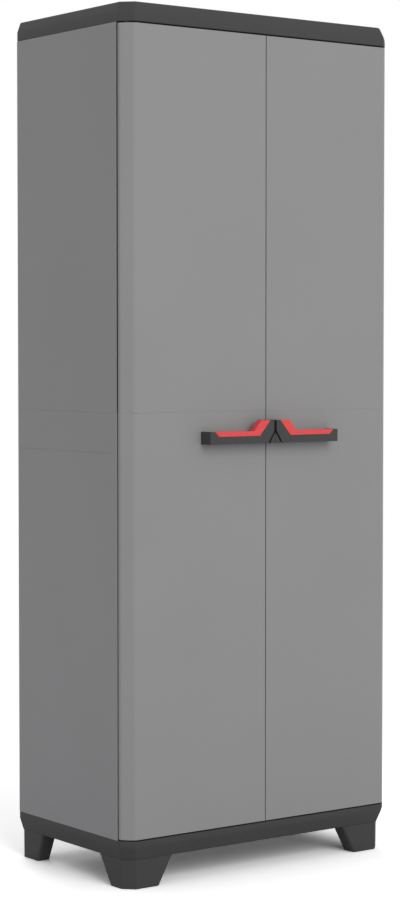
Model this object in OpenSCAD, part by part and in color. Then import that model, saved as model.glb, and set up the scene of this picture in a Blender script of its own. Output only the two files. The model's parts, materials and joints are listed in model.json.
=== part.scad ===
// Tall two-door storage cabinet of moulded polypropylene, taken apart into its pieces.
// X runs to the right, Y to the back and Z up. The doors face -Y.
// The origin lies on the floor, in the middle of the outline that includes the handles.

/* [Cabinet] */
// Width over the side panels
cabinet_w = 680; // [620:1:760]
// Depth from the door faces to the rear edge, without the handles
cabinet_d = 390; // [360:1:450]
// Height from the floor to the top of the cover
cabinet_h = 1730; // [1600:1:1850]
// Height of the joint between the lower and the upper half
seam_z = 935.5; // [880:0.5:1000]
// Size of the cut on the front corners of cover, base and doors
corner = 23.5; // [22:0.5:26]
// Share of a leaning face's inset that the corner cut follows
corner_lean = 0.8; // [0.5:0.05:1]
// Wall of the panels, doors and shelves
wall = 2.5; // [2:0.1:3]
// Play left around each piece that plugs into another
fit = 0.3; // [0.2:0.05:0.5]
// Thickness of the stiffening ribs
rib_t = 2; // [1.5:0.1:3]

/* [Base and feet] */
// Height of the base's upper edge above the floor
base_top = 97.5; // [92:0.5:110]
// Height of the feet
foot_h = 58.5; // [50:0.5:64]
// Height of the upright band around the base
rim_h = 13; // [11:0.5:18]
// Distance that the base leans inwards below its band
base_taper = 9; // [4:0.5:10]
// Wall of the base
base_wall = 3.5; // [3:0.1:4]
// Wall of the feet
foot_wall = 3; // [2.5:0.1:4]
// Step from the lower edge of the base in to the feet
foot_step = 1.5; // [1:0.1:2.5]
// Lean of the outer faces of the feet
foot_lean = 0.6; // [0:0.1:3]
// Length of a front foot along the front, at its top
foot_top_x = 121; // [100:1:140]
// Length of a front foot along the front, at the floor
foot_sole_x = 89; // [70:1:95]
// Length of a front foot along the side, at its top
foot_top_y = 110; // [90:1:120]
// Length of a front foot along the side, at the floor
foot_sole_y = 72; // [55:1:80]
// Length of a rear foot along the side, at its top
rear_foot_top_y = 74; // [65:1:90]
// Length of a rear foot along the side, at the floor
rear_foot_sole_y = 54; // [45:1:60]
// Width of a foot's arms at their top, beyond the corner cut
foot_arm_top = 19.5; // [17:0.5:24]
// Width of a front foot's arms at the floor, beyond the corner cut
foot_arm_sole = 19.5; // [15:0.5:20]
// Width of a rear foot at the floor, beyond the corner cut
rear_foot_arm_sole = 15; // [12:0.5:17]

/* [Cover] */
// Height of the cover
cover_h = 39.5; // [36:0.5:50]
// Height of the upright band around the cover
cover_band = 18; // [18:0.5:22]
// Distance that the cover leans inwards above its band
cover_taper = 8; // [4:0.5:12]
// Rounding of the cover's upper edge
cover_round = 5; // [2:0.5:7]
// Wall of the cover
cover_wall = 3; // [2.5:0.1:4]
// Depth of the ribs inside the cover
cover_rib_h = 12; // [8:0.5:14]
// Largest distance between the ribs of cover and base
deck_rib_pitch = 95; // [70:1:140]

/* [Side panels] */
// Depth of the side panels over their rails
panel_t = 24; // [22:0.5:28]
// Gap between the closed door and the lip of the side panel
side_gap = 2.6; // [2.2:0.1:4]
// Distance from the closed door back to the jamb
jamb_gap = 13; // [12:0.5:17]
// Width of the slotted rails
rail_w = 28; // [24:1:36]
// Free length of a panel below and above its rails
rail_end = 30; // [28:1:50]
// Distance between the slots
slot_pitch = 56; // [48:1:64]
// Height of the first slot above the panel's lower edge
first_slot = 60; // [50:1:80]
// Width of a slot
slot_w = 10; // [8:0.5:14]
// Height of a slot
slot_h = 8; // [7:0.5:12]
// Ledge on which the centre shelf lies
ledge = 6; // [4:0.5:8]
// Length of the tongues that locate the panels
tenon_w = 40; // [25:1:60]
// Thickness of the tongues
tenon_t = 8; // [5:0.5:9]
// Height of the tongues
tenon_h = 12; // [8:0.5:14]
// Reach of the ribs on the side panels' inner faces
side_rib_reach = 12; // [8:0.5:16]
// Largest distance between those ribs
side_rib_pitch = 120; // [80:1:180]
// Distance from the joint down to the shallow groove around the lower side panels
groove_drop = 80; // [60:1:100]
// Width of that groove
side_groove_h = 1.2; // [0.8:0.1:2]
// Depth of that groove
side_groove_t = 0.6; // [0.4:0.1:0.8]

/* [Back panels] */
// Thickness of the back panels
back_t = 2.6; // [2:0.1:3.2]
// Wall of the side panels behind the groove of the back panels
groove_back = 4.5; // [4:0.1:6]
// Depth of the groove
groove_depth = 14; // [10:0.5:18]
// Height by which a back panel reaches into the base and the cover
back_tongue = 8; // [5:0.5:10]
// Reach of the upright ribs on the back panels
back_rib_reach = 6; // [4:0.5:8]
// Distance between those ribs
back_rib_pitch = 110; // [90:1:125]
// Radius of the holes for screwing the cabinet to a wall
wall_hole_r = 3; // [2:0.1:4]
// Distance of those holes below the cover
wall_hole_drop = 60; // [40:1:90]

/* [Shelves] */
// Height of the shelves over their skirt
shelf_h = 22; // [18:0.5:26]
// Gap between the hanging shelves and the rails
shelf_gap = 1; // [0.5:0.1:2]
// Gap from the shelves to the ribs of the back panel
shelf_back_gap = 2; // [1:0.5:6]
// Largest distance between the ribs of a shelf
shelf_rib_pitch = 75; // [50:1:110]
// Slot that carries the lower shelf
lower_slot = 4; // [2:1:5]
// Slot that carries the middle shelf
middle_slot = 9; // [7:1:11]
// Slot that carries the upper shelf
upper_slot = 6; // [4:1:8]
// Reach of a shelf clip under the shelf
clip_reach = 12; // [8:0.5:18]
// Height of a shelf clip below its peg
clip_drop = 10; // [6:0.5:16]
// Length of a clip's peg behind the rail's face
clip_peg = 5; // [3:0.5:8]

/* [Doors] */
// Depth of the doors
door_t = 28; // [27:0.5:29]
// Distance from the outer face of a side panel in to the edge of its door
door_inset = 2; // [1:0.5:3]
// Gap above and below the doors
door_gap = 2.6; // [2:0.1:5]
// Gap between the two doors
centre_gap = 2; // [1.5:0.1:4]
// Distance of that gap from the middle of the cabinet, to the right
gap_shift = 5; // [0:0.5:8]
// Reach of the ribs inside the doors
door_rib_reach = 10; // [6:0.5:14]
// Largest distance between the ribs of a door
door_rib_pitch = 110; // [80:1:160]
// Height of the ridges against which the doors close
stop_h = 8; // [5:0.5:12]
// Distance of those ridges from the sides
stop_end = 48; // [45:1:70]
// Gap between the closed doors and the ridges
stop_gap = 0.5; // [0.3:0.1:1]

/* [Hinges] */
// Distance from the hinge axis to the back of the door
hinge_heel = 10; // [9.5:0.1:10.5]
// Radius of the hinge pins
pin_r = 4; // [3:0.1:4.5]
// Radial play of the hinge pins
pin_play = 0.08; // [0.05:0.01:0.1]
// Length of a pin in the base or cover
pin_grip = 15; // [10:0.5:15.5]
// Length of a pin in the door
pin_in = 16; // [10:0.5:20]
// Radius of the bosses around the pins
boss_r = 6.6; // [6:0.1:6.8]
// Length of the bosses in base and cover
boss_len = 17.5; // [16.5:0.5:18]
// Play between a pin's collar and the door
collar_play = 0.3; // [0.2:0.05:0.5]

/* [Handles] */
// Distance by which the handles stand out from the doors
handle_proj = 32; // [28:0.5:40]
// Thickness of a handle's front
plate_t = 9; // [7:0.5:11]
// Distance from the middle of the door gap to a handle's outer end
handle_len = 163; // [140:1:180]
// Distance from the joint line down to the handles' lower edge
handle_drop = 64.5; // [58:0.5:80]
// Height of the grip
grip_h = 25; // [22:0.5:30]
// Rise of the handle towards the middle
rise_h = 21; // [17:0.5:24]
// Start of that rise, from the middle of the door gap
rise_out = 54; // [50:0.5:60]
// End of that rise, from the middle of the door gap
rise_in = 36.5; // [34:0.5:40]
// Gap between the two handles
handle_gap = 6.4; // [5:0.1:8]
// Width by which the gap flares towards the lower edge, on each side
flare_w = 15.5; // [14:0.5:17]
// Height of that flare
flare_h = 24.5; // [23:0.5:25.5]
// Width of the outer post
post_w = 10.5; // [8:0.5:11]
// Width of the inner post
inner_post_w = 17; // [14:0.5:19]
// Height of the inner post's lower side above the handle's lower edge
inner_post_z = 26; // [25.5:0.5:28]
// Thickness of the plate that joins the inner post and the padlock lug
foot_plate_t = 4; // [3:0.5:6]
// Depth of the red insert
insert_t = 15; // [12:0.5:16]
// Height of the insert's band along the grip
insert_h = 10; // [8:0.5:12]
// Distance from the handle's outer end to the insert
insert_start = 11.5; // [11:0.5:15]
// Run of the insert's slanted outer end
insert_slant = 10.5; // [6:0.5:14]
// Place of the insert's inner end at the top, from the middle of the door gap
insert_top_in = 12.5; // [11:0.5:15]
// Place of the insert's inner end at its lower edge, from the middle of the door gap
insert_low_in = 39; // [34:0.5:41]
// Width of the padlock lug beside the door gap
lug_w = 14; // [12:0.5:14.5]
// Gap between the two lugs
lug_gap = 0.6; // [0.5:0.1:1.5]
// Height of the lug
lug_h = 19; // [17:0.5:21]
// Depth of the lug's wedge-shaped nose
nose_t = 10; // [8:0.5:12]
// Radius of the padlock eye
eye_r = 4; // [3:0.1:4.5]
// Distance from the door face to the middle of the eye
eye_out = 12; // [11:0.5:14]

/* [Screws] */
// Radius of a screw's shank
screw_r = 2; // [1.5:0.1:2.2]
// Radius of a screw's head
head_r = 3.5; // [3:0.1:4]
// Height of a screw's head
head_h = 2.5; // [2:0.1:3]
// Length of a screw in the piece that it holds
screw_in = 12; // [8:0.5:14]
// Distance of the joint screws from the edges of the door
screw_edge = 40; // [30:1:60]

/* [Hidden] */
$fn = 48;

panel_grey = "#8e8f91";
graphite = "#474747";
signal_red = "#e8484b";
steel = "#b9bcc0";

half_w = cabinet_w / 2;
front_y = (handle_proj - cabinet_d) / 2;
cover_z = cabinet_h - cover_h;
door_low = base_top + door_gap;
door_high = cover_z - door_gap;
// Distances from the outer faces to the middle of the door gap
left_reach = half_w + gap_shift;
right_reach = half_w - gap_shift;
hinge_in = door_t - hinge_heel;
lip_v = door_t + side_gap;
jamb_v = door_t + jamb_gap;
groove_w = back_t + 2 * fit;
groove_v = cabinet_d - groove_back - groove_w;
rear_rail_v = groove_v - rail_w;
tongue_w = cabinet_w - 2 * groove_depth;
tenon_u = cover_wall + fit;
tenon_places = [jamb_v + 2 * rail_w, rear_rail_v - rail_w - tenon_w];
spigot_h = base_top - foot_h - boss_len - base_wall;
shelf_front_v = jamb_v + wall + shelf_gap;
shelf_rear_v = groove_v - back_rib_reach - shelf_back_gap;
shelf_d = shelf_rear_v - shelf_front_v;
peg_h = slot_h - fit;
handle_z = seam_z - handle_drop;
handle_top = grip_h + rise_h;
plate_back = plate_t - handle_proj;
insert_back = insert_t - handle_proj;
bore_r = pin_r + pin_play;
// Extra length of a cut, so that it leaves no skin
over = 1;

// Places pieces that are drawn from the left outer face (u), the door face (v) and the floor
module left_side() translate([-half_w, front_y, 0]) children();
module right_side() mirror([1, 0, 0]) left_side() children();
module both_sides() {
    left_side() children();
    right_side() children();
}

// Even spacing of ribs over a length, no wider than the pitch
function rib_places(start, length, pitch) =
    let (bays = ceil(length / pitch))
    [for (i = [1 : 1 : bays - 1]) start + i * length / bays];

// Reach of a corner cut whose faces lean in by lean and lie behind a skin of thickness w
function cut_reach(lean, w) = corner + corner_lean * lean + w * (sqrt(2) - 1);

// Outline of the cabinet seen from above at a height, leaning in at the front and the sides by lean,
// and behind a skin of thickness w
function ring(lean, w, z) =
    let (inset = lean + w, cut = cut_reach(lean, w), back_y = front_y + cabinet_d - w)
    [
        [cut - half_w, front_y + inset, z],
        [half_w - cut, front_y + inset, z],
        [half_w - inset, front_y + cut, z],
        [half_w - inset, back_y, z],
        [inset - half_w, back_y, z],
        [inset - half_w, front_y + cut, z]
    ];

// Solid through a stack of outlines, each with the same number of points
module loft(rings) {
    n = len(rings[0]);
    last = len(rings) - 1;
    sides = [
        for (i = [0 : last - 1]) for (k = [0 : n - 1])
            [i * n + k, (i + 1) * n + k, (i + 1) * n + (k + 1) % n, i * n + (k + 1) % n]
    ];
    bottom = [for (k = [0 : n - 1]) k];
    top = [for (k = [n - 1 : -1 : 0]) last * n + k];
    polyhedron([for (r = rings) each r], concat([bottom], sides, [top]));
}

// Flat piece in the plane of the door face, from depth v0 to depth v1
module slab(v0, v1) translate([0, v1, 0]) rotate([90, 0, 0]) linear_extrude(v1 - v0) children();

// Base and feet

function base_outer() = [
    ring(base_taper, 0, foot_h),
    ring(0, 0, base_top - rim_h),
    ring(0, 0, base_top)
];

function base_hollow() = let (slope = base_taper / (base_top - rim_h - foot_h)) [
    ring(base_taper + slope * over, base_wall, foot_h - over),
    ring(0, base_wall, base_top - rim_h),
    ring(0, base_wall, base_top - base_wall)
];

// Crossed ribs under the floor or the cover, between two heights
module deck_ribs(z0, z1) {
    for (x = rib_places(-half_w, cabinet_w, deck_rib_pitch))
        translate([x - rib_t / 2, front_y, z0]) cube([rib_t, cabinet_d, z1 - z0]);
    for (y = rib_places(front_y, cabinet_d, deck_rib_pitch))
        translate([-half_w, y - rib_t / 2, z0]) cube([cabinet_w, rib_t, z1 - z0]);
}

// Ridge behind the closed doors
module door_stop(z0, z1)
    translate([stop_end - half_w, front_y + door_t + stop_gap, z0])
        cube([cabinet_w - 2 * stop_end, wall, z1 - z0]);

module tenon_sockets(z0, z1)
    for (v = tenon_places)
        translate([tenon_u - fit, v - fit, z0]) cube([tenon_t + 2 * fit, tenon_w + 2 * fit, z1 - z0]);

module base_tray() color(graphite) difference() {
    union() {
        difference() {
            loft(base_outer());
            loft(base_hollow());
        }
        intersection() {
            loft(base_outer());
            union() {
                deck_ribs(foot_h + spigot_h + rib_t, base_top - base_wall / 2);
                both_sides() translate([hinge_in, hinge_in, base_top - boss_len])
                    cylinder(r = boss_r, h = boss_len);
            }
        }
        door_stop(base_top - base_wall / 2, base_top + stop_h);
    }
    both_sides() {
        translate([hinge_in, hinge_in, base_top - pin_grip - fit])
            cylinder(r = bore_r, h = pin_grip + over);
        tenon_sockets(base_top - tenon_h - fit, base_top + over);
    }
    translate([-tongue_w / 2 - fit, front_y + groove_v, base_top - back_tongue - fit])
        cube([tongue_w + 2 * fit, groove_w, back_tongue + over]);
}

// Outline of a foot at a height, leaning in by lean and behind a skin of thickness w.
// A front foot runs round the corner, and a rear foot runs along the side only, flush with the back.
function foot_ring(is_front, lean, w, length_x, length_y, arm, z) =
    let (inset = lean + w, cut = cut_reach(lean, w))
    is_front
        ? [
            [inset, cut, z], [cut, inset, z], [length_x, inset, z], [length_x, arm, z],
            [arm, arm, z], [arm, length_y, z], [inset, length_y, z]
        ]
        : [[inset, w, z], [arm, w, z], [arm, length_y, z], [inset, length_y, z]];

// Hollow foot of a left corner, with its lengths along the side at the top and at the floor,
// and with the width of its arms at the floor.
// Its rings run up the outside, over the rim of the spigot and down the inside.
module foot(is_front, top_y, sole_y, sole_w) {
    lean_top = base_taper + foot_step;
    lean_sole = lean_top + foot_lean;
    socket_w = base_wall + fit;
    spigot_top = foot_h + spigot_h;
    arm_top = corner + foot_arm_top;
    arm_sole = corner + sole_w;
    // Ring of the sole, moved inwards by w
    function sole(w, z) =
        foot_ring(is_front, lean_sole, w, foot_sole_x - w, sole_y - w, arm_sole - w, z);
    // Ring of the spigot that plugs into the base, moved inwards by w
    function spigot(w, z) =
        let (less = foot_wall + w)
        foot_ring(is_front, base_taper, socket_w + w, foot_top_x - less, top_y - less, arm_top - less, z);
    loft([
        sole(0, 0),
        foot_ring(is_front, lean_top, 0, foot_top_x, top_y, arm_top, foot_h),
        spigot(0, foot_h),
        spigot(0, spigot_top),
        spigot(foot_wall, spigot_top),
        spigot(foot_wall, foot_h),
        sole(foot_wall, foot_wall)
    ]);
}

module rear_place() translate([0, cabinet_d, 0]) mirror([0, 1, 0]) children();
module front_foot() foot(true, foot_top_y, foot_sole_y, foot_arm_sole);
module front_left_foot() color(graphite) left_side() front_foot();
module front_right_foot() color(graphite) right_side() front_foot();
module rear_foot() rear_place() foot(false, rear_foot_top_y, rear_foot_sole_y, rear_foot_arm_sole);
module rear_left_foot() color(graphite) left_side() rear_foot();
module rear_right_foot() color(graphite) right_side() rear_foot();

// Cover

function cover_outer() =
    let (
        lean_angle = atan2(cover_h - cover_band, cover_taper),
        arc_inset = cover_taper + cover_round * tan(lean_angle / 2),
        arc_z = cabinet_h - cover_round,
        steps = 4
    )
    concat(
        [ring(0, 0, cover_z), ring(0, 0, cover_z + cover_band)],
        [for (i = [0 : steps]) let (a = lean_angle * (1 - i / steps))
            ring(arc_inset - cover_round * sin(a), 0, arc_z + cover_round * cos(a))]
    );

function cover_hollow() =
    let (slope = cover_taper / (cover_h - cover_band), roof_z = cabinet_h - cover_wall)
    [
        ring(0, cover_wall, cover_z - over),
        ring(0, cover_wall, cover_z + cover_band),
        ring(slope * (roof_z - cover_z - cover_band), cover_wall, roof_z)
    ];

module top_cover() color(graphite) difference() {
    union() {
        difference() {
            loft(cover_outer());
            loft(cover_hollow());
        }
        intersection() {
            loft(cover_outer());
            union() {
                deck_ribs(cabinet_h - cover_wall - cover_rib_h, cabinet_h - cover_wall / 2);
                both_sides() translate([hinge_in, hinge_in, cover_z]) cylinder(r = boss_r, h = boss_len);
            }
        }
        door_stop(cover_z - stop_h, cabinet_h - cover_wall / 2);
    }
    both_sides() translate([hinge_in, hinge_in, cover_z - over])
        cylinder(r = bore_r, h = pin_grip + fit + over);
}

// Side panels

module side_section() {
    translate([0, lip_v]) square([wall, cabinet_d - lip_v]);
    translate([0, jamb_v]) square([panel_t, wall]);
    translate([0, groove_v - wall]) square([panel_t, wall]);
    translate([0, groove_v + groove_w]) square([groove_depth, groove_back]);
}

module rail_section(v) {
    translate([panel_t - wall, v]) square([wall, rail_w]);
    for (edge = [v, v + rail_w - wall]) translate([0, edge]) square([panel_t, wall]);
}

function slot_z(z0, slot) = z0 + first_slot + slot * slot_pitch;
function slot_count(height) = floor((height - first_slot - rail_end - 2 * slot_h) / slot_pitch);

module tenons(z) for (v = tenon_places) translate([tenon_u, v, z]) cube([tenon_t, tenon_w, tenon_h]);

// Panel between two heights; its lower flange leaves a ledge free, and its top has tongues or sockets
module side_panel(z0, z1, low_flange, is_upper) {
    height = z1 - z0;
    rib_v = jamb_v + rail_w;
    difference() {
        union() {
            translate([0, 0, z0]) linear_extrude(height) side_section();
            translate([0, 0, z0 + rail_end]) linear_extrude(height - 2 * rail_end) {
                rail_section(jamb_v);
                rail_section(rear_rail_v);
            }
            translate([0, jamb_v, z0]) cube([low_flange, groove_v - jamb_v, wall]);
            translate([0, jamb_v, z1 - wall]) cube([panel_t, groove_v - jamb_v, wall]);
            for (z = rib_places(z0, height, side_rib_pitch))
                translate([0, rib_v - over, z]) cube([side_rib_reach, rear_rail_v - rib_v + 2 * over, rib_t]);
            tenons(z0 - tenon_h);
            if (is_upper) tenons(z1);
        }
        for (v = [jamb_v, rear_rail_v], slot = [0 : slot_count(height)])
            translate([panel_t - wall - over, v + (rail_w - slot_w) / 2, slot_z(z0, slot)])
                cube([wall + 2 * over, slot_w, slot_h]);
        if (!is_upper) {
            tenon_sockets(z1 - wall - over, z1 + over);
            translate([-over, lip_v - over, z1 - groove_drop])
                cube([over + side_groove_t, cabinet_d, side_groove_h]);
        }
    }
}

module lower_side() side_panel(base_top, seam_z, panel_t, false);
module upper_side() side_panel(seam_z, cover_z, panel_t - ledge, true);
module lower_left_side() color(panel_grey) left_side() lower_side();
module lower_right_side() color(panel_grey) right_side() lower_side();
module upper_left_side() color(panel_grey) left_side() upper_side();
module upper_right_side() color(panel_grey) right_side() upper_side();

// Back panels

// Ribbed sheet between two heights, with a narrower tongue from tongue_z upwards
module back_panel(z0, z1, tongue_z) {
    sheet_w = cabinet_w - 2 * (wall + fit);
    sheet_y = front_y + groove_v + fit;
    rib_count = floor((sheet_w / 2 - panel_t - rib_t) / back_rib_pitch);
    translate([-sheet_w / 2, sheet_y, z0]) cube([sheet_w, back_t, z1 - z0]);
    translate([-tongue_w / 2, sheet_y, tongue_z]) cube([tongue_w, back_t, 2 * back_tongue]);
    for (i = [-rib_count : rib_count])
        translate([i * back_rib_pitch - rib_t / 2, sheet_y - back_rib_reach, z0])
            cube([rib_t, back_rib_reach + back_t / 2, z1 - z0]);
}

module lower_back() color(panel_grey) back_panel(base_top, seam_z, base_top - back_tongue);

module upper_back() color(panel_grey) difference() {
    back_panel(seam_z, cover_z, cover_z - back_tongue);
    for (side = [-1, 1])
        translate([side * 1.5 * back_rib_pitch, front_y + groove_v, cover_z - wall_hole_drop])
            rotate([-90, 0, 0]) cylinder(r = wall_hole_r, h = groove_w);
}

// Shelves

// Tray turned upside down, with a grid of ribs below its top
module shelf(edge_u, z) {
    shelf_w = cabinet_w - 2 * edge_u;
    rib_z = z + shelf_h / 3;
    rib_h = shelf_h * 2 / 3 - wall / 2;
    translate([-shelf_w / 2, front_y + shelf_front_v, 0]) {
        difference() {
            translate([0, 0, z]) cube([shelf_w, shelf_d, shelf_h]);
            translate([wall, wall, z - over])
                cube([shelf_w - 2 * wall, shelf_d - 2 * wall, shelf_h - wall + over]);
        }
        for (u = rib_places(0, shelf_w, shelf_rib_pitch))
            translate([u - rib_t / 2, wall / 2, rib_z]) cube([rib_t, shelf_d - wall, rib_h]);
        for (v = rib_places(0, shelf_d, shelf_rib_pitch))
            translate([wall / 2, v - rib_t / 2, rib_z]) cube([shelf_w - wall, rib_t, rib_h]);
    }
}

// Clip that plugs into the slots of both rails of one side
module side_clips(slot_low) {
    clip_w = slot_w - 2 * fit;
    profile = [
        [panel_t - wall - clip_peg, 0], [panel_t, 0], [panel_t, -clip_drop],
        [panel_t + clip_reach, peg_h - fit], [panel_t + clip_reach, peg_h],
        [panel_t - wall - clip_peg, peg_h]
    ];
    for (v = [jamb_v, rear_rail_v])
        translate([0, v + (rail_w - clip_w) / 2, slot_low]) slab(0, clip_w) polygon(profile);
}

lower_slot_z = slot_z(base_top, lower_slot);
middle_slot_z = slot_z(base_top, middle_slot);
upper_slot_z = slot_z(seam_z, upper_slot);

module centre_shelf() color(panel_grey) shelf(panel_t - ledge + fit, seam_z);
module lower_shelf() color(panel_grey) shelf(panel_t + shelf_gap, lower_slot_z + peg_h);
module middle_shelf() color(panel_grey) shelf(panel_t + shelf_gap, middle_slot_z + peg_h);
module upper_shelf() color(panel_grey) shelf(panel_t + shelf_gap, upper_slot_z + peg_h);
module lower_shelf_clips() color(graphite) both_sides() side_clips(lower_slot_z);
module middle_shelf_clips() color(graphite) both_sides() side_clips(middle_slot_z);
module upper_shelf_clips() color(graphite) both_sides() side_clips(upper_slot_z);

// Hinge pins

// Pin from z0 to z1, with a collar from collar_z0 to collar_z1
module hinge_pin(z0, z1, collar_z0, collar_z1)
    translate([hinge_in, hinge_in, 0]) rotate_extrude() polygon([
        [0, z0], [pin_r, z0], [pin_r, collar_z0], [boss_r, collar_z0],
        [boss_r, collar_z1], [pin_r, collar_z1], [pin_r, z1], [0, z1]
    ]);

module bottom_pin() hinge_pin(base_top - pin_grip, door_low + pin_in, base_top, door_low - collar_play);
module top_pin() hinge_pin(door_high - pin_in, cover_z + pin_grip, door_high + collar_play, cover_z);
module left_bottom_pin() color(graphite) left_side() bottom_pin();
module right_bottom_pin() color(graphite) right_side() bottom_pin();
module left_top_pin() color(graphite) left_side() top_pin();
module right_top_pin() color(graphite) right_side() top_pin();

// Doors

// Each is drawn from its outer face, with the distance from there to the middle of the door gap
function free_edge(reach) = reach - centre_gap / 2;

module door_outline(reach) polygon([
    [corner, 0], [free_edge(reach), 0], [free_edge(reach), door_t],
    [door_inset, door_t], [door_inset, corner - door_inset]
]);

// Hollow behind the skin, open to the back
module door_hollow(reach) {
    skin_u = free_edge(reach) - wall;
    cut = cut_reach(0, wall);
    polygon([
        [cut, wall], [skin_u, wall], [skin_u, door_t + over],
        [door_inset + wall, door_t + over], [door_inset + wall, cut - door_inset]
    ]);
}

// Ribbed tray between two heights
module door_tray(reach, z0, z1) {
    height = z1 - z0;
    inner_w = free_edge(reach) - corner;
    rib_v = wall / 2;
    rib_d = door_rib_reach + wall / 2;
    difference() {
        translate([0, 0, z0]) linear_extrude(height) door_outline(reach);
        translate([0, 0, z0 + wall]) linear_extrude(height - 2 * wall) door_hollow(reach);
    }
    for (u = rib_places(corner, inner_w, door_rib_pitch))
        translate([u - rib_t / 2, rib_v, z0 + wall / 2]) cube([rib_t, rib_d, height - wall]);
    for (z = rib_places(z0, height, door_rib_pitch))
        translate([corner, rib_v, z - rib_t / 2]) cube([inner_w - wall / 2, rib_d, rib_t]);
}

// Socket of a hinge pin, between two heights
module hinge_boss(z0, z1) translate([hinge_in, hinge_in, z0]) cylinder(r = boss_r, h = z1 - z0);
module hinge_bore(z0, z1) translate([hinge_in, hinge_in, z0]) cylinder(r = bore_r, h = z1 - z0);

module joint_screw_holes(reach, r, z0, z1)
    for (u = [corner + screw_edge, free_edge(reach) - screw_edge])
        translate([u, door_t / 2, z0]) cylinder(r = r, h = z1 - z0);

// Holes for the handle screws, one in the outer post and one in the inner post
module handle_screw_holes(reach, r, v0, v1) {
    outer = [reach - handle_len + post_w / 2, handle_z + grip_h / 2];
    inner = [reach - (handle_gap + inner_post_w) / 2, handle_z + (inner_post_z + handle_top) / 2];
    for (p = [outer, inner])
        translate([p.x, v0, p.y]) rotate([-90, 0, 0]) cylinder(r = r, h = v1 - v0);
}

module lower_door(reach) difference() {
    union() {
        door_tray(reach, door_low, seam_z);
        hinge_boss(door_low, door_low + pin_in + wall);
    }
    hinge_bore(door_low - over, door_low + pin_in + fit);
    joint_screw_holes(reach, screw_r + fit, seam_z - wall - over, seam_z + over);
    handle_screw_holes(reach, screw_r + fit, -over, wall + over);
    handle_screw_holes(reach, head_r + over, wall, door_t);
}

module upper_door(reach) difference() {
    union() {
        door_tray(reach, seam_z, door_high);
        hinge_boss(door_high - pin_in - wall, door_high);
        joint_screw_holes(reach, 2 * screw_r + wall / 2, seam_z, seam_z + screw_in + wall);
    }
    hinge_bore(door_high - pin_in - fit, door_high + over);
    joint_screw_holes(reach, screw_r + pin_play, seam_z - over, seam_z + screw_in + fit);
}

module door_screws(reach) {
    joint_screw_holes(reach, head_r, seam_z - wall - head_h, seam_z - wall);
    joint_screw_holes(reach, screw_r, seam_z - wall - head_h / 2, seam_z + screw_in);
}

module left_door_lower() color(panel_grey) left_side() lower_door(left_reach);
module right_door_lower() color(panel_grey) right_side() lower_door(right_reach);
module left_door_upper() color(panel_grey) left_side() upper_door(left_reach);
module right_door_upper() color(panel_grey) right_side() upper_door(right_reach);
module left_door_screws() color(steel) left_side() door_screws(left_reach);
module right_door_screws() color(steel) right_side() door_screws(right_reach);

// Handles, drawn from the middle of the door gap and the handles' lower edge

module handle_place(reach) translate([reach, 0, handle_z]) children();

module handle_outline() polygon([
    [-handle_len, 0], [-handle_len, grip_h], [-rise_out, grip_h], [-rise_in, handle_top],
    [-handle_gap / 2, handle_top], [-handle_gap / 2, flare_h], [-handle_gap / 2 - flare_w, 0]
]);

module insert_outline() polygon([
    [insert_start - handle_len, grip_h], [-rise_out, grip_h], [-rise_in, handle_top],
    [-insert_top_in, handle_top], [-insert_low_in, grip_h - insert_h],
    [insert_start + insert_slant - handle_len, grip_h - insert_h]
]);

module inner_post() {
    inner_post_left = handle_gap / 2 + inner_post_w;
    translate([-inner_post_left, inner_post_z]) square([inner_post_w, handle_top - inner_post_z]);
}

// Wedge that fills the flare of the gap, parallel to the handle's flank
module lug_nose() polygon([
    [-lug_w, 0], [-lug_gap / 2, (lug_w - lug_gap / 2) * flare_h / flare_w], [-lug_gap / 2, 0]
]);

module lug_block() translate([-lug_w, 0]) square([lug_w - lug_gap / 2, lug_h]);

module handle(reach) difference() {
    handle_place(reach) {
        slab(-handle_proj, plate_back) difference() {
            handle_outline();
            insert_outline();
        }
        slab(-handle_proj, 0) translate([-handle_len, 0]) square([post_w, grip_h]);
        slab(plate_back, insert_back) difference() {
            inner_post();
            insert_outline();
        }
        slab(insert_back, 0) inner_post();
        slab(-foot_plate_t, 0) hull() {
            inner_post();
            lug_block();
        }
        slab(plate_back + over, 0) lug_block();
        slab(-handle_proj, plate_back + nose_t) lug_nose();
    }
    handle_screw_holes(reach, screw_r + pin_play, -screw_in - fit, over);
    handle_place(reach) translate([-lug_w - over, -eye_out, lug_h / 2])
        rotate([0, 90, 0]) cylinder(r = eye_r, h = lug_w + 2 * over);
}

module handle_insert(reach) handle_place(reach) slab(-handle_proj, insert_back) insert_outline();

module handle_screws(reach) {
    handle_screw_holes(reach, head_r, wall, wall + head_h);
    handle_screw_holes(reach, screw_r, -screw_in, wall + head_h / 2);
}

module left_handle() color(graphite) left_side() handle(left_reach);
module right_handle() color(graphite) right_side() handle(right_reach);
module left_handle_insert() color(signal_red) left_side() handle_insert(left_reach);
module right_handle_insert() color(signal_red) right_side() handle_insert(right_reach);
module left_handle_screws() color(steel) left_side() handle_screws(left_reach);
module right_handle_screws() color(steel) right_side() handle_screws(right_reach);

base_tray();
front_left_foot();
front_right_foot();
rear_left_foot();
rear_right_foot();
lower_left_side();
lower_right_side();
upper_left_side();
upper_right_side();
lower_back();
upper_back();
top_cover();
centre_shelf();
lower_shelf();
middle_shelf();
upper_shelf();
lower_shelf_clips();
middle_shelf_clips();
upper_shelf_clips();
left_bottom_pin();
left_top_pin();
right_bottom_pin();
right_top_pin();
left_door_lower();
left_door_upper();
left_door_screws();
left_handle();
left_handle_insert();
left_handle_screws();
right_door_lower();
right_door_upper();
right_door_screws();
right_handle();
right_handle_insert();
right_handle_screws();
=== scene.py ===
"""Finishes, rounded edges, screws, light and camera of a tall two-door storage cabinet."""
import json
import math

import bmesh
import bpy
from mathutils import Matrix, Vector

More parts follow.
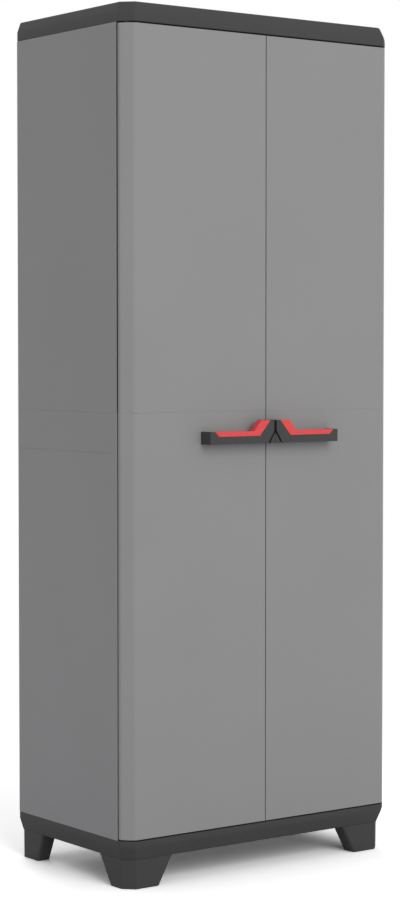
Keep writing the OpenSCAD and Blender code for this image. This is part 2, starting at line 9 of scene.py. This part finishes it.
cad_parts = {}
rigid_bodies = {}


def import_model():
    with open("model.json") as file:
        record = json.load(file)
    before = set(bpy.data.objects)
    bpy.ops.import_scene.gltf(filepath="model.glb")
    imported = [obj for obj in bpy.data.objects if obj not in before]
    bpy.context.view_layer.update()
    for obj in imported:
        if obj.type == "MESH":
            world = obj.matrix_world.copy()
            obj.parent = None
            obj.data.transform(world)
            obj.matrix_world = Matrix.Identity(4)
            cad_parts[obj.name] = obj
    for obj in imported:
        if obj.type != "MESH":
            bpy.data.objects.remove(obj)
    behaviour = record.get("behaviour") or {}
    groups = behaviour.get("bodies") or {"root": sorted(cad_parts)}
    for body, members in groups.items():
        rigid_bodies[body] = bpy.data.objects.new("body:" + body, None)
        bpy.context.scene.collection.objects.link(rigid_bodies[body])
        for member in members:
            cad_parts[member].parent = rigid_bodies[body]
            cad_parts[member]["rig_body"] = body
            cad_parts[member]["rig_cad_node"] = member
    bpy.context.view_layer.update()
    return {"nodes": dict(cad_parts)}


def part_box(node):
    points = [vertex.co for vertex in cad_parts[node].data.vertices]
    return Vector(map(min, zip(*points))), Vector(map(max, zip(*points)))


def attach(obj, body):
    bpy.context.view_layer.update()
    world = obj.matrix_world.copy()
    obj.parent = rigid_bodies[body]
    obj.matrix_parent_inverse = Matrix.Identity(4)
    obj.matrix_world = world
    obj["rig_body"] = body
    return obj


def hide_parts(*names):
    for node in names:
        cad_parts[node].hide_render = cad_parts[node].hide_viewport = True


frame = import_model()

MM = 0.001
HALVES = ("lower", "upper")

# Outline of the cabinet, from its pieces
HALF_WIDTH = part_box("base_tray")[1].x
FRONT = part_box("left_door_lower")[0].y
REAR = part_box("base_tray")[1].y
FOOT_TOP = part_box("base_tray")[0].z
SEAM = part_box("left_door_upper")[0].z

# Cut of the front corners, and how far the doors step back from the outline
CORNER_CUT = 23.5 * MM
DOOR_STEP = 2 * MM

# Bends of the base and the cover
BASE_BEND = FOOT_TOP + 26 * MM
COVER_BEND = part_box("upper_left_side")[1].z + 6 * MM

# How far behind the outline an outer edge can lie: on the leaning bands of the base and the cover,
# on the feet, and on a door's corner strip behind the plane of the cut
BASE_REACH = 9.5 * MM
COVER_REACH = 12 * MM
FOOT_REACH = 14 * MM
STRIP_REACH = 6 * MM

# Groove across the lower side panels, and the depth at which its line stays faint
GROOVE_Z = SEAM - 80 * MM
GROOVE_HEIGHT = 1.2 * MM
GROOVE_DEPTH = 0.6 * MM
FAINT_DEPTH = 0.35 * MM

# Rounded edges: radius and number of segments
STRIP_FRONT_ROUND = (5 * MM, 5)
STRIP_SIDE_ROUND = (3 * MM, 4)
DOOR_ROUND = (0.35 * MM, 2)
SIDE_ROUND = (0.35 * MM, 2)
HANDLE_END_ROUND = (2 * MM, 4)
HANDLE_FRONT_ROUND = (0.5 * MM, 3)
INSERT_ROUND = (0.8 * MM, 3)
FOOT_ARM_ROUND = (6 * MM, 6)
FOOT_SOLE_ROUND = (1.2 * MM, 3)
PIN_ROUND = (0.6 * MM, 2)
SKIRT_ROUND = (2 * MM, 4)
BASE_BEND_ROUND = (4 * MM, 5)
COVER_BEND_ROUND = (7 * MM, 5)
CLIP_ROUND = (0.2 * MM, 2)
SHELF_ROUND = (0.6 * MM, 2)
BACK_ROUND = (0.4 * MM, 2)

# Distances and angles that tell edges apart
MERGE = 0.01 * MM
NEAR = 0.5 * MM
SHORT = 4 * MM
FLAT = math.radians(0.5)
SLIGHT = math.radians(5)
SOFT = math.radians(20)
SHARP = math.radians(30)
SMOOTH = math.radians(35)
SQUARE = math.radians(75)


def linear(colour):
    """Linear RGBA of an sRGB hex colour."""
    parts = [int(colour[i:i + 2], 16) / 255 for i in (1, 3, 5)]
    return tuple(c / 12.92 if c <= 0.04045 else ((c + 0.055) / 1.055) ** 2.4 for c in parts) + (1,)


# Materials

def add(tree, kind, inputs=None, **settings):
    """Adds a shader node; its inputs are plain values or the sockets that feed them."""
    made = tree.nodes.new(kind)
    for name, value in settings.items():
        setattr(made, name, value)
    for name, value in (inputs or {}).items():
        if isinstance(value, bpy.types.NodeSocket):
            tree.links.new(value, made.inputs[name])
        else:
            made.inputs[name].default_value = value
    return made


def moulded_plastic(name, pale, deep, ior, roughness, sheen, grain, cloud, depth):
    """Plastic between two close colours; sheen is its specular level.

    The grain's width, the clouds' width and the grain's depth are in metres.
    """
    material = bpy.data.materials.new(name)
    material.use_nodes = True
    tree = material.node_tree
    shader = tree.nodes["Principled BSDF"]
    place = add(tree, "ShaderNodeTexCoord").outputs["Object"]
    fine = add(tree, "ShaderNodeTexNoise", {
        "Vector": place, "Scale": 1 / grain, "Detail": 3, "Roughness": 0.6}).outputs["Fac"]
    slow = add(tree, "ShaderNodeTexNoise", {
        "Vector": place, "Scale": 1 / cloud, "Detail": 2, "Roughness": 0.5}).outputs["Fac"]
    both = add(tree, "ShaderNodeMath", {0: fine, 1: slow}, operation="ADD").outputs[0]
    shade = add(tree, "ShaderNodeMapRange", {"Value": both, "From Min": 0.6, "From Max": 1.4}).outputs[0]
    tint = add(tree, "ShaderNodeMix", {0: shade, 6: linear(pale), 7: linear(deep)}, data_type="RGBA")
    gloss = add(tree, "ShaderNodeMapRange", {
        "Value": fine, "From Min": 0.3, "From Max": 0.7,
        "To Min": roughness - 0.05, "To Max": roughness + 0.05}).outputs[0]
    bump = add(tree, "ShaderNodeBump", {"Height": fine, "Strength": 0.35, "Distance": depth}).outputs[0]
    tree.links.new(tint.outputs[2], shader.inputs["Base Color"])
    tree.links.new(gloss, shader.inputs["Roughness"])
    tree.links.new(bump, shader.inputs["Normal"])
    shader.inputs["IOR"].default_value = ior
    shader.inputs["Specular IOR Level"].default_value = sheen
    return material


# Polypropylene moulded in a spark-eroded tool: matt, evenly grained, faintly cloudy from the flow of
# the melt. The real grain of about 1 mm is drawn coarser, because a pixel of the picture is 2 mm.
panel_plastic = moulded_plastic(
    "polypropylene_spark_grain_grey", pale="#8c8c8c", deep="#888888", ior=1.49, roughness=0.55,
    sheen=0.5, grain=3.5 * MM, cloud=260 * MM, depth=0.12 * MM)

# Polypropylene with carbon black, moulded in a finely blasted tool: darker, a little closer in grain
# and duller than the panels.
graphite_plastic = moulded_plastic(
    "polypropylene_blasted_graphite", pale="#3d3d3d", deep="#393939", ior=1.49, roughness=0.6,
    sheen=0.4, grain=3 * MM, cloud=180 * MM, depth=0.1 * MM)

# ABS moulded in a polished tool: even red with a soft gloss and a slight orange peel.
red_plastic = moulded_plastic(
    "abs_polished_red", pale="#df4245", deep="#d93c3f", ior=1.54, roughness=0.4,
    sheen=0.5, grain=5 * MM, cloud=60 * MM, depth=0.05 * MM)


def zinc_plated_steel():
    """Cold-headed steel with a zinc coat: bright, with a soft mottle from the plating bath."""
    mottle_width = 1.5 * MM
    material = bpy.data.materials.new("steel_zinc_plated")
    material.use_nodes = True
    tree = material.node_tree
    shader = tree.nodes["Principled BSDF"]
    place = add(tree, "ShaderNodeTexCoord").outputs["Object"]
    mottle = add(tree, "ShaderNodeTexNoise", {
        "Vector": place, "Scale": 1 / mottle_width, "Detail": 4}).outputs["Fac"]
    tint = add(tree, "ShaderNodeMix", {
        0: mottle, 6: linear("#c9ccd0"), 7: linear("#a9acb2")}, data_type="RGBA")
    gloss = add(tree, "ShaderNodeMapRange", {"Value": mottle, "To Min": 0.25, "To Max": 0.45})
    tree.links.new(tint.outputs[2], shader.inputs["Base Color"])
    tree.links.new(gloss.outputs[0], shader.inputs["Roughness"])
    shader.inputs["Metallic"].default_value = 1
    return material


FINISHES = {
    "panel_plastic": panel_plastic,
    "graphite_plastic": graphite_plastic,
    "red_plastic": red_plastic,
    "screw_steel": zinc_plated_steel(),
}


# Rules for the edges to round

def middle(edge):
    return (edge.verts[0].co + edge.verts[1].co) / 2


def bends(edge, least):
    """True for an outer edge where two faces meet at more than this angle."""
    return len(edge.link_faces) == 2 and edge.calc_face_angle_signed() > least


def on_plane(edge, axis, place):
    return all(abs(corner.co[axis] - place) < NEAR for corner in edge.verts)


def is_level(edge):
    return abs(edge.verts[0].co.z - edge.verts[1].co.z) < MERGE


def is_long_edge(edge):
    return bends(edge, SHARP) and edge.calc_length() > SHORT


def is_rim(edge):
    """A level edge of a turned piece."""
    return is_level(edge) and bends(edge, SHARP)


def cut_depth(spot):
    """Distance of a place behind the plane of its front corner cut, along the width."""
    return HALF_WIDTH - CORNER_CUT - FRONT - abs(spot.x) + spot.y


def box_edge(node):
    """Rule for the outer edges along the edges of a piece's box."""
    planes = [(axis, limit[axis]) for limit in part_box(node) for axis in range(3)]

    def rule(edge):
        return bends(edge, SHARP) and sum(on_plane(edge, *plane) for plane in planes) > 1
    return rule


def door_rim(node):
    """Rule for the edges all round a door half, over the rounded ends of its corner strip too."""
    straight = box_edge(node)
    ends = [limit.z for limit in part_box(node)]

    def rule(edge):
        at_end = any(on_plane(edge, 2, end) for end in ends)
        on_strip = at_end and cut_depth(middle(edge)) < STRIP_REACH and bends(edge, SHARP)
        return on_strip or straight(edge)
    return rule


def is_side_edge(edge):
    """An upright edge of a side panel's outer face, or its edge at the joint of the halves."""
    outer = on_plane(edge, 0, math.copysign(HALF_WIDTH, middle(edge).x))
    return outer and bends(edge, SHARP) and (on_plane(edge, 2, SEAM) or not is_level(edge))


def front_edge(node):
    """Rule for the edges of a piece's front face."""
    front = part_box(node)[0].y
    return lambda edge: on_plane(edge, 1, front) and bends(edge, SHARP)


def upright_at(x, y):
    """Rule for the outer edges above one point of the floor."""
    def rule(edge):
        spot = middle(edge)
        return abs(spot.x - x) < NEAR and abs(spot.y - y) < NEAR and bends(edge, SHARP)
    return rule


def is_arm_end(edge):
    """The outer edge at the end of a foot's arm, from the floor up to the base."""
    spot = middle(edge)
    low, high = sorted(corner.co.z for corner in edge.verts)
    whole = low < NEAR and abs(high - FOOT_TOP) < NEAR
    outside = min(HALF_WIDTH - abs(spot.x), spot.y - FRONT) < FOOT_REACH and spot.y < REAR - NEAR
    return whole and outside and bends(edge, SQUARE)


def is_sole_edge(edge):
    """An edge that touches the floor."""
    return min(corner.co.z for corner in edge.verts) < NEAR and bends(edge, SHARP)


def is_bend(edge):
    """The level bend between the upright and the leaning band of the base or the cover."""
    at_bend = any(abs(middle(edge).z - bend) < MERGE for bend in (BASE_BEND, COVER_BEND))
    return at_bend and is_level(edge) and bends(edge, SLIGHT)


def is_skirt_edge(edge):
    """A sharp edge on the outside of the base or the cover."""
    spot = middle(edge)
    depth = min(HALF_WIDTH - abs(spot.x), spot.y - FRONT, cut_depth(spot) / 2)
    reach = NEAR
    if spot.z < BASE_BEND - NEAR:
        reach = BASE_REACH
    elif spot.z > COVER_BEND:
        reach = COVER_REACH
    outside = depth < reach or REAR - spot.y < NEAR
    return outside and (is_long_edge(edge) or not is_level(edge) and bends(edge, SOFT))


# Pieces with rounded edges

def alone(piece):
    """Makes a piece the only selected one."""
    bpy.ops.object.select_all(action="DESELECT")
    piece.select_set(True)
    bpy.context.view_layer.objects.active = piece


def round_edges(piece, pick, radius, segments):
    """Rounds the edges of a piece that a rule picks, in edit mode."""
    bpy.ops.mesh.select_mode(type="EDGE")
    bpy.ops.mesh.select_all(action="DESELECT")
    mesh = bmesh.from_edit_mesh(piece.data)
    mesh.normal_update()
    for edge in mesh.edges:
        if pick(edge):
            edge.select_set(True)
    bmesh.update_edit_mesh(piece.data)
    bpy.ops.mesh.bevel(offset=radius, segments=segments, affect="EDGES", clamp_overlap=False)


def finish(piece, node):
    """Shades a piece and lets it stand for a CAD piece, with that piece's body and finish."""
    alone(piece)
    bpy.ops.object.shade_smooth_by_angle(angle=SMOOTH)
    even = piece.modifiers.new("even_shading", "WEIGHTED_NORMAL")
    even.keep_sharp = True
    bpy.ops.object.modifier_apply(modifier=even.name)
    source = frame["nodes"][node]
    slot = source.material_slots[0].material.name.split(".")[0]
    piece.data.materials.clear()
    piece.data.materials.append(FINISHES[slot])
    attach(piece, source["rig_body"])
    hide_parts(node)


def moulded(node, *edges):
    """Stands for a CAD piece, with whole faces and with the edges of each rule rounded."""
    alone(frame["nodes"][node])
    bpy.ops.object.duplicate()
    piece = bpy.context.object
    piece.name = "moulded_" + node
    del piece["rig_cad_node"]
    bpy.ops.object.mode_set(mode="EDIT")
    bpy.ops.mesh.select_all(action="SELECT")
    bpy.ops.mesh.remove_doubles(threshold=MERGE)
    bpy.ops.mesh.dissolve_limited(angle_limit=FLAT)
    for pick, rounding in edges:
        round_edges(piece, pick, *rounding)
    bpy.ops.object.mode_set(mode="OBJECT")
    finish(piece, node)
    return piece


def ease_groove(panel, sign):
    """Brings the floor of a side panel's groove out to a depth at which its line stays faint."""
    alone(panel)
    bpy.ops.object.mode_set(mode="EDIT")
    bpy.ops.mesh.select_mode(type="VERT")
    bpy.ops.mesh.select_all(action="DESELECT")
    mesh = bmesh.from_edit_mesh(panel.data)
    for corner in mesh.verts:
        in_groove = abs(corner.co.z - GROOVE_Z) < GROOVE_HEIGHT
        corner.select_set(in_groove and abs(sign * corner.co.x - HALF_WIDTH + GROOVE_DEPTH) < MERGE)
    bpy.ops.transform.translate(value=(sign * (GROOVE_DEPTH - FAINT_DEPTH), 0, 0))
    bpy.ops.object.mode_set(mode="OBJECT")


def door(side, sign):
    """The half shells of a door, with both edges of their 45 degree corner strip rounded."""
    strip_front = upright_at(sign * (HALF_WIDTH - CORNER_CUT), FRONT)
    strip_side = upright_at(sign * (HALF_WIDTH - DOOR_STEP), FRONT + CORNER_CUT - DOOR_STEP)
    for half in HALVES:
        node = f"{side}_door_{half}"
        moulded(
            node, (strip_front, STRIP_FRONT_ROUND), (strip_side, STRIP_SIDE_ROUND),
            (door_rim(node), DOOR_ROUND))


def side_panels(side, sign):
    """The halves of a side; the lower one has the groove."""
    for half in HALVES:
        panel = moulded(f"{half}_{side}_side", (is_side_edge, SIDE_ROUND))
        if half == "lower":
            ease_groove(panel, sign)


def handle(side):
    """A handle, rounded at the end away from the other one, and its insert."""
    node = f"{side}_handle"
    low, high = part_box(node)
    outer_end = upright_at(low.x if side == "left" else high.x, low.y)
    moulded(node, (outer_end, HANDLE_END_ROUND), (front_edge(node), HANDLE_FRONT_ROUND))
    moulded(f"{side}_handle_insert", (is_long_edge, INSERT_ROUND))


def feet(side):
    for end in ("front", "rear"):
        moulded(f"{end}_{side}_foot", (is_arm_end, FOOT_ARM_ROUND), (is_sole_edge, FOOT_SOLE_ROUND))


def hinge_pins(side):
    for end in ("bottom", "top"):
        moulded(f"{side}_{end}_pin", (is_rim, PIN_ROUND))


def base_and_cover():
    for node, bend_round in (("base_tray", BASE_BEND_ROUND), ("top_cover", COVER_BEND_ROUND)):
        moulded(node, (is_skirt_edge, SKIRT_ROUND), (is_bend, bend_round))


def shelves():
    """The shelves on their clips, and the one at the joint of the halves, which has none."""
    for level in ("lower", "middle", "upper"):
        moulded(f"{level}_shelf_clips", (is_long_edge, CLIP_ROUND))
    for level in ("lower", "middle", "upper", "centre"):
        node = f"{level}_shelf"
        moulded(node, (box_edge(node), SHELF_ROUND))


def back_panels():
    for half in HALVES:
        node = f"{half}_back"
        moulded(node, (box_edge(node), BACK_ROUND))


for side, sign in (("left", -1), ("right", 1)):
    door(side, sign)
    side_panels(side, sign)
    handle(side)
    feet(side)
    hinge_pins(side)
base_and_cover()
shelves()
back_panels()


# Screws, with the head and the shank that their solids have

HEAD_R = 3.5 * MM
HEAD_H = 2.5 * MM
HEAD_SIDES = 24
HEAD_ROUND = (1.4 * MM, 4)
SHANK_R = 2 * MM
SHANK_L = 14.5 * MM
THREADS = 9
PITCH = 1.3 * MM
RECESS_L = 3.8 * MM
RECESS_W = 0.8 * MM
RECESS_DEPTH = 1.4 * MM

# Radii at the root of the thread and at the tip, as shares of the shank's
THREAD_ROOT = 0.78
SHANK_TIP = 0.2


def pick_face(piece, direction):
    """Selects the one face that looks in a direction, in edit mode."""
    bpy.ops.mesh.select_mode(type="FACE")
    bpy.ops.mesh.select_all(action="DESELECT")
    mesh = bmesh.from_edit_mesh(piece.data)
    mesh.normal_update()
    max(mesh.faces, key=lambda face: face.normal.dot(direction)).select_set(True)
    bmesh.update_edit_mesh(piece.data)


def grow(height, scale):
    """Draws the selected face out along the screw's axis and scales it."""
    bpy.ops.mesh.extrude_region_move(TRANSFORM_OT_translate={"value": (0, 0, height)})
    bpy.ops.transform.resize(value=(scale, scale, 1))


def cut_slit(screw, length, width):
    """Cuts one slit of the cross recess into a screw's head."""
    bpy.ops.mesh.primitive_cube_add(size=1, location=(0, 0, -HEAD_H))
    slit = bpy.context.object
    slit.scale = (length, width, 2 * RECESS_DEPTH)
    alone(screw)
    recess = screw.modifiers.new("cross_recess", "BOOLEAN")
    recess.operation = "DIFFERENCE"
    recess.solver = "EXACT"
    recess.object = slit
    bpy.ops.object.modifier_apply(modifier=recess.name)
    bpy.data.objects.remove(slit)


def cross_head_screw():
    """Pan-head screw along +Z, with the underside of its head on the floor plane."""
    bpy.ops.object.select_all(action="DESELECT")
    bpy.ops.mesh.primitive_cylinder_add(
        vertices=HEAD_SIDES, radius=HEAD_R, depth=HEAD_H, location=(0, 0, -HEAD_H / 2))
    screw = bpy.context.object
    bpy.ops.object.transform_apply(location=True, rotation=True, scale=True)
    bpy.ops.object.mode_set(mode="EDIT")
    radius, segments = HEAD_ROUND
    pick_face(screw, Vector((0, 0, -1)))
    bpy.ops.mesh.bevel(offset=radius, segments=segments, affect="EDGES")
    pick_face(screw, Vector((0, 0, 1)))
    bpy.ops.mesh.inset(thickness=HEAD_R - SHANK_R)
    for turn in range(THREADS):
        grow(PITCH / 2, THREAD_ROOT)
        grow(PITCH / 2, 1 / THREAD_ROOT)
    grow(SHANK_L - THREADS * PITCH, SHANK_TIP)
    bpy.ops.object.mode_set(mode="OBJECT")
    cut_slit(screw, RECESS_L, RECESS_W)
    cut_slit(screw, RECESS_W, RECESS_L)
    return screw


def driven(screw, node, places, direction):
    """Puts a screw at each place, driven in a direction, as one piece."""
    turn = Vector((0, 0, 1)).rotation_difference(Vector(direction)).to_matrix().to_4x4()
    copies = []
    for place in places:
        alone(screw)
        bpy.ops.object.duplicate()
        copy = bpy.context.object
        copy.matrix_world = Matrix.Translation(place) @ turn
        bpy.ops.object.transform_apply(location=True, rotation=True, scale=True)
        copies.append(copy)
    alone(copies[0])
    for copy in copies:
        copy.select_set(True)
    bpy.ops.object.join()
    copies[0].name = "cross_head_" + node
    finish(copies[0], node)


def door_screws(screw, side):
    """The upright screws that join the halves of a door."""
    node = f"{side}_door_screws"
    low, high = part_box(node)
    depth = (low.y + high.y) / 2
    under_head = low.z + HEAD_H
    driven(screw, node, [(x, depth, under_head) for x in (low.x + HEAD_R, high.x - HEAD_R)], (0, 0, 1))


def handle_screws(screw, side):
    """The level screws that hold a handle from behind, with the one next to the middle higher up."""
    node = f"{side}_handle_screws"
    low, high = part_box(node)
    spots = [low.x + HEAD_R, high.x - HEAD_R]
    outer, inner = spots if side == "left" else reversed(spots)
    under_head = high.y - HEAD_H
    driven(screw, node, [
        (outer, under_head, low.z + HEAD_R), (inner, under_head, high.z - HEAD_R)], (0, -1, 0))


master = cross_head_screw()
for side in ("left", "right"):
    door_screws(master, side)
    handle_screws(master, side)
bpy.data.objects.remove(master)


# Stage: a white floor that keeps the shadow and turns to pure white further out

FLOOR_SIZE = 60
SHADOW_REACH = 0.6
WHITE_REACH = 1.8

# Brightness of the floor to the eye, and of the room as it lights the cabinet
FLOOR_LEVEL = 1.68
ROOM_LEVEL = 0.5

# Point that the lights look at
CABINET_MIDDLE = Vector((0, 0, 0.9))


def looked_at(tree, path):
    """1 for a ray of the eye, straight, in gloss or through glass; 0 for light on its way."""
    eye = add(tree, "ShaderNodeMath", {
        0: path["Is Camera Ray"], 1: path["Is Transmission Ray"]}, operation="MAXIMUM").outputs[0]
    return add(tree, "ShaderNodeMath", {0: eye, 1: path["Is Glossy Ray"]}, operation="MAXIMUM").outputs[0]


def white_floor():
    """Floor that catches the shadow near the cabinet and shows pure white further out."""
    bpy.ops.object.select_all(action="DESELECT")
    bpy.ops.mesh.primitive_plane_add(size=FLOOR_SIZE, location=(0, 0, 0))
    floor = bpy.context.object
    floor.name = "studio_floor"
    material = bpy.data.materials.new("painted_white_floor")
    material.use_nodes = True
    tree = material.node_tree
    tree.nodes.clear()
    place = add(tree, "ShaderNodeTexCoord").outputs["Object"]
    away = add(tree, "ShaderNodeVectorMath", {0: place}, operation="LENGTH").outputs["Value"]
    path = add(tree, "ShaderNodeLightPath").outputs
    seen = looked_at(tree, path)
    fade = add(tree, "ShaderNodeMapRange", {
        "Value": away, "From Min": SHADOW_REACH, "From Max": WHITE_REACH},
        interpolation_type="SMOOTHSTEP").outputs[0]
    shown = add(tree, "ShaderNodeMath", {0: fade, 1: seen}, operation="MULTIPLY").outputs[0]
    # Paint as it lights the cabinet and shows in its sheen, and as the eye sees it, bright enough to
    # read as white
    paint = add(tree, "ShaderNodeBsdfDiffuse", {"Color": linear("#e5e6eb")}).outputs[0]
    bright = add(tree, "ShaderNodeBsdfDiffuse", {
        "Color": (FLOOR_LEVEL, FLOOR_LEVEL, FLOOR_LEVEL, 1)}).outputs[0]
    near = add(tree, "ShaderNodeMixShader", {0: path["Is Camera Ray"], 1: paint, 2: bright}).outputs[0]
    white = add(tree, "ShaderNodeEmission", {"Color": linear("#ffffff"), "Strength": 1}).outputs[0]
    mixed = add(tree, "ShaderNodeMixShader", {0: shown, 1: near, 2: white}).outputs[0]
    add(tree, "ShaderNodeOutputMaterial", {"Surface": mixed})
    floor.data.materials.append(material)


def white_room():
    """World that shows white to the eye and in gloss, and lights the rest with a soft even light."""
    world = bpy.data.worlds.new("studio_room")
    bpy.context.scene.world = world
    world.use_nodes = True
    tree = world.node_tree
    tree.nodes.clear()
    seen = looked_at(tree, add(tree, "ShaderNodeLightPath").outputs)
    soft = add(tree, "ShaderNodeBackground", {
        "Color": linear("#ffffff"), "Strength": ROOM_LEVEL}).outputs[0]
    white = add(tree, "ShaderNodeBackground", {"Color": linear("#ffffff"), "Strength": 1}).outputs[0]
    mixed = add(tree, "ShaderNodeMixShader", {0: seen, 1: soft, 2: white}).outputs[0]
    add(tree, "ShaderNodeOutputWorld", {"Surface": mixed})


def softbox(name, place, size, power):
    """Square light that looks at the middle of the cabinet and leaves no glare on it."""
    lamp = bpy.data.lights.new(name, "AREA")
    lamp.size = size
    lamp.energy = power
    held = bpy.data.objects.new(name, lamp)
    held.location = place
    held.rotation_mode = "QUATERNION"
    held.rotation_quaternion = (Vector(place) - CABINET_MIDDLE).to_track_quat("Z", "Y")
    held.visible_glossy = False
    bpy.context.scene.collection.objects.link(held)


white_floor()
white_room()
softbox("front_softbox", place=(-1, -8.5, 4.7), size=6, power=445)
softbox("rear_softbox", place=(3, 8, 3), size=4, power=260)


# Camera at the photograph's viewing angle

LENS = 91.886
SENSOR_WIDTH = 36
CAMERA_PLACE = (-2.8539, -3.8254, 1.0594)
CAMERA_DIP = math.radians(2.494)
CAMERA_TURN = math.radians(-36.4515)


def photo_camera():
    """Camera that looks in at the front from the left, slightly downwards."""
    camera = bpy.data.cameras.new("photo_camera")
    camera.lens = LENS
    camera.sensor_width = SENSOR_WIDTH
    held = bpy.data.objects.new("photo_camera", camera)
    held.location = CAMERA_PLACE
    held.rotation_euler = (math.pi / 2 - CAMERA_DIP, 0, CAMERA_TURN)
    bpy.context.scene.collection.objects.link(held)
    bpy.context.scene.camera = held


photo_camera()
bpy.context.scene.view_settings.view_transform = "Standard"
